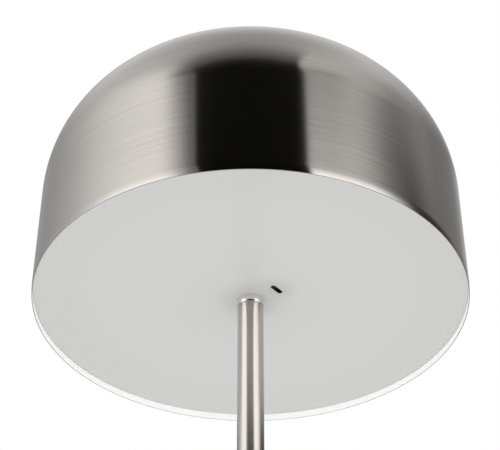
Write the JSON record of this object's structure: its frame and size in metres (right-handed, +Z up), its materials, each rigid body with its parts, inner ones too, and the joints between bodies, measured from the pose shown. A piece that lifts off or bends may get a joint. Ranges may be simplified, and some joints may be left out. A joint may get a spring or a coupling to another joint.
{
  "type": "floor lamp",
  "caption": "Floor lamp with a brushed metal dome shade over a flat white diffuser, a slim round pole, a weighted disc base and a slide switch set in the diffuser.",
  "frame": {"origin": "on the floor under the middle of the pole", "axes": "+Z up along the pole; the picture is taken from -Y, below the shade; +X is to the right in it; the cord inlet is at the rear, +Y"},
  "size_m": [0.4255, 0.4256, 1.5968],
  "materials": {
    "brushed_nickel": "brushed nickel plate on steel, brush lines round the axis",
    "opal_acrylic": "satin opal white",
    "cast_iron": "raw casting, black wash",
    "black_plastic": "moulded, fine texture",
    "black_rubber": "matt",
    "zinc_steel": "zinc plated",
    "brass_pin": "bright",
    "sheet_aluminium": "mill finish",
    "white_board": "white solder mask",
    "led_phosphor": "phosphor yellow",
    "driver_plastic": "off-white",
    "green_board": "green solder mask",
    "lead_jacket": "PVC jacket"
  },
  "bodies": {
    "lamp": {"dome_shade": "brushed_nickel", "pole_lower": "brushed_nickel", "pole_middle": "brushed_nickel", "pole_upper": "brushed_nickel", "diffuser_collar": "brushed_nickel", "base_cover": "brushed_nickel", "base_collar": "brushed_nickel", "finial": "brushed_nickel", "finial_washer": "brushed_nickel", "diffuser": "opal_acrylic", "base_weight": "cast_iron", "bottom_cover": "black_plastic", "switch_housing": "black_plastic", "switch_cover": "black_plastic", "rubber_feet": "black_rubber", "cord_bush": "black_rubber", "bottom_screws": "zinc_steel", "base_stud": "zinc_steel", "base_washer": "zinc_steel", "base_nut": "zinc_steel", "centre_rod": "zinc_steel", "diffuser_washer": "zinc_steel", "diffuser_nut": "zinc_steel", "plate_lower_nut": "zinc_steel", "plate_washer": "zinc_steel", "plate_upper_nut": "zinc_steel", "seat_nut": "zinc_steel", "shade_seat": "zinc_steel", "board_screws": "zinc_steel", "driver_screws": "zinc_steel", "switch_screws": "zinc_steel", "pole_foot_insert": "zinc_steel", "pole_top_insert": "zinc_steel", "lower_joint_socket": "zinc_steel", "lower_joint_spigot": "zinc_steel", "upper_joint_socket": "zinc_steel", "upper_joint_spigot": "zinc_steel", "switch_terminals": "brass_pin", "led_plate": "sheet_aluminium", "led_board": "white_board", "board_terminal": "white_board", "led_chips": "led_phosphor", "driver_case": "driver_plastic", "driver_lid": "driver_plastic", "driver_board": "green_board", "driver_components": "green_board", "supply_lead": "lead_jacket", "switch_lead": "lead_jacket", "led_lead": "lead_jacket"},
    "slider": {"switch_slider": "black_plastic"}
  },
  "joints": [
    {"name": "switch_slide", "type": "slide", "parent": "lamp", "child": "slider", "axis": [0.6129, 0.7902, 0], "range_m": [0, 0.0086]}
  ]
}
